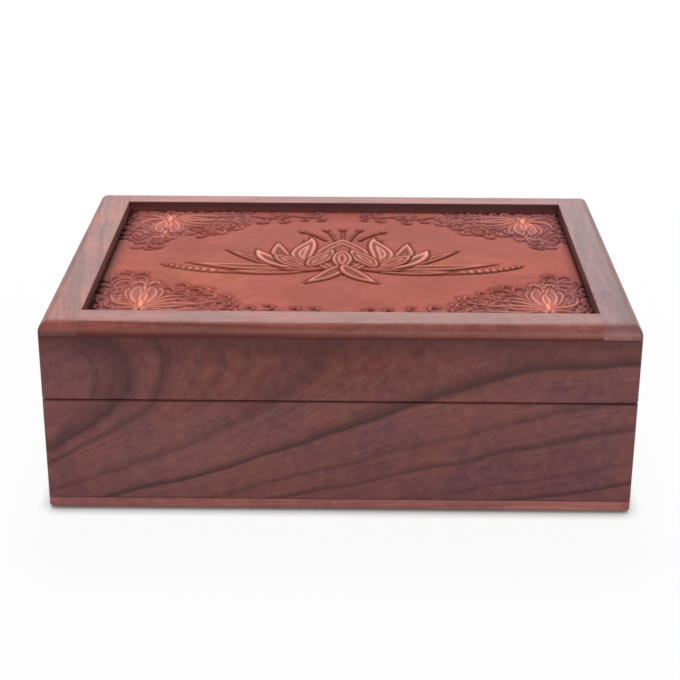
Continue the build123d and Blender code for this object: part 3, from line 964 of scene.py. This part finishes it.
def tooledLeather():
    # Vegetable-tanned cowhide, carved and stamped, dyed and antiqued: terracotta with dark paste left in the
    # cuts, a painted highlight where the raised lines were wiped, and a close pebbled grain
    material, add = newMaterial("tooledCowhide")
    spot = add("ShaderNodeTexCoord").outputs["Object"]
    dark = add("ShaderNodeAttribute", attribute_name="antique").outputs["Fac"]
    glow = add("ShaderNodeAttribute", attribute_name="wipedHighlight").outputs["Fac"]
    clouds, blotches, ambers = (
        add("ShaderNodeTexNoise", {"Vector": spot, "Scale": leather[name], "Detail": detail, "Roughness": 0.6})
        for name, detail in (("clouds", 5.0), ("blotches", 4.0), ("ambers", 3.0))
    )
    axes = add("ShaderNodeSeparateXYZ", {0: spot}).outputs
    # in the corners the paste is a darker, purple one, and the painted highlights on the wiped lines come out more
    # orange
    out = add("ShaderNodeVectorMath", {0: spot, 1: (10.5, 15.0, 0.0)}, operation="MULTIPLY")
    out = add("ShaderNodeVectorMath", {0: out}, operation="LENGTH")
    outer = add("ShaderNodeMapRange", {0: out, 1: 0.75, 2: 1.05})
    pasted = add("ShaderNodeMapRange", {0: dark, 2: 0.15})
    wipedHighlight, paste = (
        add("ShaderNodeMix", {0: outer, 6: paint(middle), 7: paint(corner)}, data_type="RGBA")
        for middle, corner in (leather["wipedHighlight"], leather["paste"])
    )
    colour = add("ShaderNodeValToRGB", {0: clouds}, stops=leather["hide"])
    for share, tone in (
        (add("ShaderNodeMapRange", {0: ambers, 1: 0.50, 2: 0.66, 4: 0.55}), paint(leather["amber"])),
        (add("ShaderNodeMapRange", {0: blotches, 1: 0.42, 2: 0.70, 4: 0.45}), paint(leather["blotch"])),
        (add("ShaderNodeMapRange", {0: axes[1], 1: -10 * mm, 2: 66 * mm, 4: 0.45}), paint(leather["back"])),
        (add("ShaderNodeMath", {0: outer, 1: pasted}, operation="MULTIPLY"), paint(leather["corner"])),
        (glow, wipedHighlight),
        (dark, paste),
    ):
        colour = add("ShaderNodeMix", {0: share, 6: colour, 7: tone}, data_type="RGBA")
    # a band of burnish and painted shade that fades away from the frame
    for axis, half, reach, lean in (
        (0, "halfWidth", "sideBurnishAndShade", leather["burnishShadeLean"] / 2),
        (1, "halfDepth", "endBurnishAndShade", 0.0),
    ):
        away = add("ShaderNodeMath", {0: axes[axis], 1: lean * mm}, operation="SUBTRACT")
        away = add("ShaderNodeMath", {0: away}, operation="ABSOLUTE")
        limit = leather[half] * mm - lean * mm
        band = add("ShaderNodeMapRange", {0: away, 1: limit - leather[reach] * mm, 2: limit})
        band = add("ShaderNodeMath", {0: band, 1: leather["burnishShadeCurve"]}, operation="POWER")
        colour = add("ShaderNodeMix", {0: band, 6: colour, 7: paint(leather["burnishAndShade"])}, data_type="RGBA")
    pebble = add("ShaderNodeTexVoronoi", {"Vector": spot, "Scale": leather["pebbles"]}, feature="DISTANCE_TO_EDGE")
    creases = add("ShaderNodeTexNoise", {"Vector": spot, "Scale": leather["creases"], "Detail": 4.0})
    height = add("ShaderNodeMath", {0: pebble, 1: 0.7, 2: creases}, operation="MULTIPLY_ADD")
    surface = add(
        "ShaderNodeBsdfPrincipled",
        {
            "Base Color": colour,
            "Roughness": add("ShaderNodeMapRange", {0: dark, 3: 0.58, 4: 0.70}),
            "IOR": 1.48,
            "Specular IOR Level": 0.1,
            "Normal": add("ShaderNodeBump", {"Height": height, "Strength": 0.35, "Distance": 0.10 * mm}),
        },
    )
    add("ShaderNodeOutputMaterial", {"Surface": surface})
    return material


def sampleMap(sheet, values, x, y):  # bilinear, x and y in millimetres
    fx = np.clip((x - sheet.xs[0]) / (sheet.xs[1] - sheet.xs[0]), 0, len(sheet.xs) - 1.001)
    fy = np.clip((y - sheet.ys[0]) / (sheet.ys[1] - sheet.ys[0]), 0, len(sheet.ys) - 1.001)
    i, j = fx.astype(int), fy.astype(int)
    u, v = fx - i, fy - j
    top = values[j, i] * (1 - u) + values[j, i + 1] * u
    return top * (1 - v) + (values[j + 1, i] * (1 - u) + values[j + 1, i + 1] * u) * v


def closedMesh(relief, low, high):  # the relief on top, walls down its rim, and a fan of faces under it
    top = high.z - leather["petalRise"] * mm
    gx, gy = np.meshgrid(relief.xs * mm, relief.ys * mm)
    ny, nx = gx.shape
    upper = np.stack([gx, gy, np.minimum(top + relief.height * mm, high.z)], -1).reshape(-1, 3)
    a = (np.arange(ny - 1)[:, None] * nx + np.arange(nx - 1)[None]).ravel()
    quads = np.stack([a, a + 1, a + nx + 1, a + nx], 1)
    across, up = np.arange(nx - 1), np.arange(ny - 1)
    rim = np.concatenate([across, nx - 1 + nx * up, ny * nx - 1 - across, nx * (ny - 1 - up)])
    lower = upper[rim].copy()
    lower[:, 2] = low.z
    points = np.concatenate([upper, lower, [[0, 0, low.z]]])
    base, turn = len(upper), np.arange(len(rim))
    after = np.roll(turn, -1)
    walls = np.stack([base + turn, base + after, rim[after], rim], 1)
    fan = np.stack([np.full(len(rim), base + len(rim)), base + after, base + turn], 1)
    fours = np.concatenate([quads, walls])
    corners = np.concatenate([fours.ravel(), fan.ravel()])
    starts = np.concatenate([np.arange(len(fours)) * 4, len(fours) * 4 + np.arange(len(fan)) * 3])
    mesh = bpy.data.meshes.new("leather_fine")
    mesh.vertices.add(len(points))
    mesh.vertices.foreach_set("co", points.astype(np.float32).ravel())
    mesh.loops.add(len(corners))
    mesh.loops.foreach_set("vertex_index", corners.astype(np.int32))
    mesh.polygons.add(len(starts))
    mesh.polygons.foreach_set("loop_start", starts.astype(np.int32))
    mesh.update(calc_edges=True)
    return mesh, len(fours) * 2 + len(fan)


def thinned(mesh, triangles):
    fine = place("leather_fine", mesh)
    thin = fine.modifiers.new("thin", "DECIMATE")
    thin.ratio = leather["triangles"] / triangles
    shaped = bpy.data.meshes.new_from_object(fine.evaluated_get(bpy.context.evaluated_depsgraph_get()))
    bpy.data.objects.remove(fine)
    shaped.name = "leather_relief"
    return shaped


def readBack(items, name, kind, width=1):  # one number, or a row of them, for each item of a mesh
    values = np.zeros(len(items) * width, kind)
    items.foreach_get(name, values)
    return values.reshape(-1, width) if width > 1 else values


def layPasteAndHighlight(mesh, relief):  # the paste and the painted highlights as attributes, and normals as fine as the relief
    co = readBack(mesh.vertices, "co", np.float32, 3).astype(float)
    for name, values in (("antique", relief.dark), ("wipedHighlight", relief.glow)):
        layer = mesh.attributes.new(name, "FLOAT", "POINT")
        layer.data.foreach_set("value", sampleMap(relief, values, co[:, 0] / mm, co[:, 1] / mm).astype(np.float32))
    sy, sx = np.gradient(relief.height, relief.step)
    loops = readBack(mesh.loops, "vertex_index", np.int32)
    faceNormals = readBack(mesh.polygons, "normal", np.float32, 3)
    normals = np.repeat(faceNormals, readBack(mesh.polygons, "loop_total", np.int32), axis=0).astype(float)
    upward = normals[:, 2] > 0.05
    px, py = co[loops[upward], 0] / mm, co[loops[upward], 1] / mm
    slope = np.stack([-sampleMap(relief, sx, px, py), -sampleMap(relief, sy, px, py), np.ones(upward.sum())], 1)
    normals[upward] = slope / np.linalg.norm(slope, axis=1, keepdims=True)
    mesh.normals_split_custom_set(normals.tolist())


def makeLeather(material):
    relief = carvePanel()
    mesh = thinned(*closedMesh(relief, *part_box("leather_panel")))
    mesh.materials.clear()
    mesh.materials.append(material)
    piece = place("leather_relief", mesh)
    layPasteAndHighlight(mesh, relief)
    print("leather has", len(mesh.polygons), "faces")
    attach(piece, "lid")
    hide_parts("leather_panel")


makeLeather(tooledLeather())
print("leather carved")
